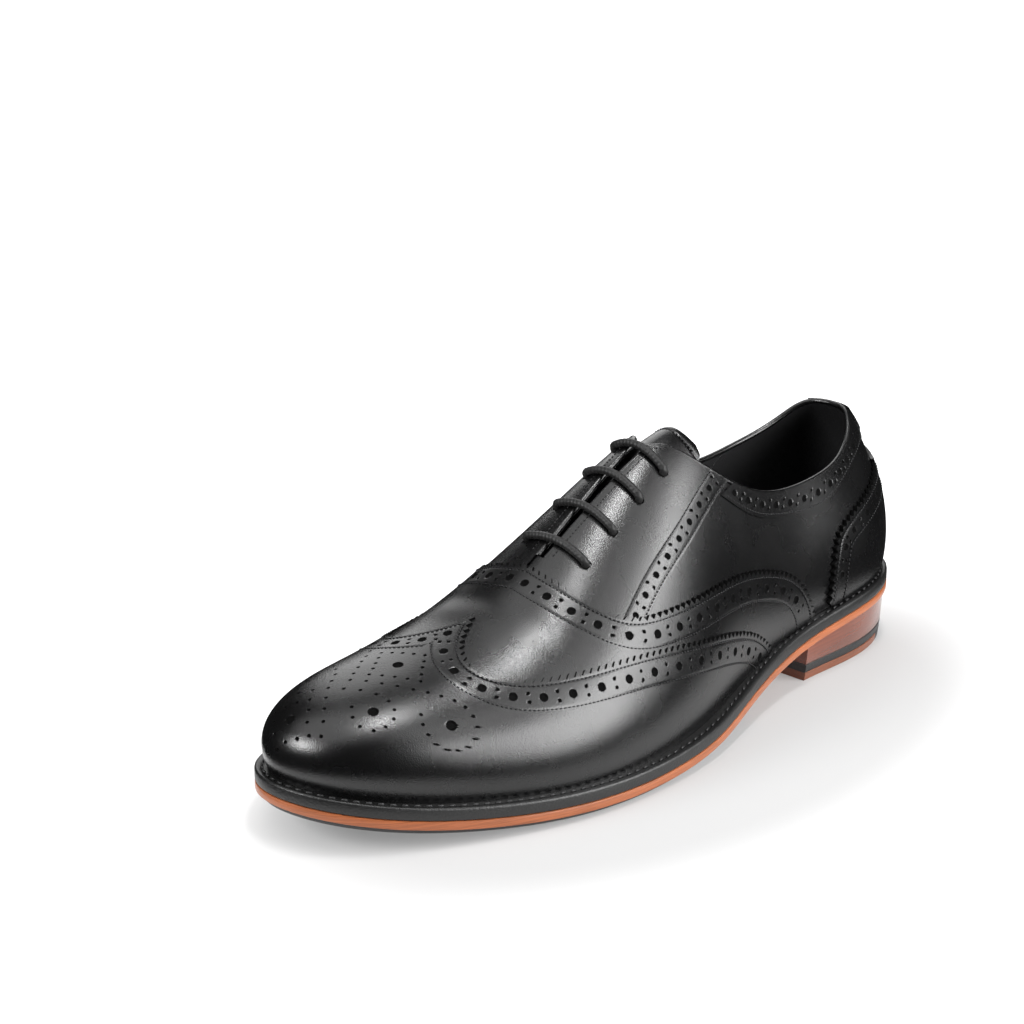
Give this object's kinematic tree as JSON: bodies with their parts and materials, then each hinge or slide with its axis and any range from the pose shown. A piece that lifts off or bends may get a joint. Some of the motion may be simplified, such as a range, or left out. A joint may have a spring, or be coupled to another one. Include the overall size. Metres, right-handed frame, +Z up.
{
  "type": "wingtip oxford shoe",
  "caption": "Left lace-up dress shoe in black leather with a brogued wing cap, closed lacing, a welted tan sole edge and a stacked brown heel.",
  "frame": {"origin": "middle of the footprint's box, on the floor under the sole", "axes": "+X towards the toe, +Y to the wearer's left (the lateral side of this left shoe), +Z up"},
  "size_m": [0.302, 0.1086, 0.1036],
  "materials": {
    "black_leather": "polished black calf with a light grain",
    "lining": "matt black lining leather",
    "welt_black": "black dyed welt",
    "tan_leather": "waxed tan sole leather",
    "heel_brown": "polished brown stacked heel",
    "rubber": "matt black rubber",
    "lace": "waxed round cotton lace"
  },
  "bodies": {
    "root": {"upper": "black_leather", "wing_cap": "black_leather", "vamp": "black_leather", "counter": "black_leather", "tongue": "black_leather", "insole": "lining", "welt": "welt_black", "midsole": "tan_leather", "half_sole": "rubber", "heel_stack": "heel_brown", "heel_rubber": "rubber", "heel_lift": "tan_leather", "heel_corner": "rubber", "lace_bar_1": "lace", "lace_bar_2": "lace", "lace_bar_3": "lace", "lace_bar_4": "lace"}
  },
  "joints": []
}
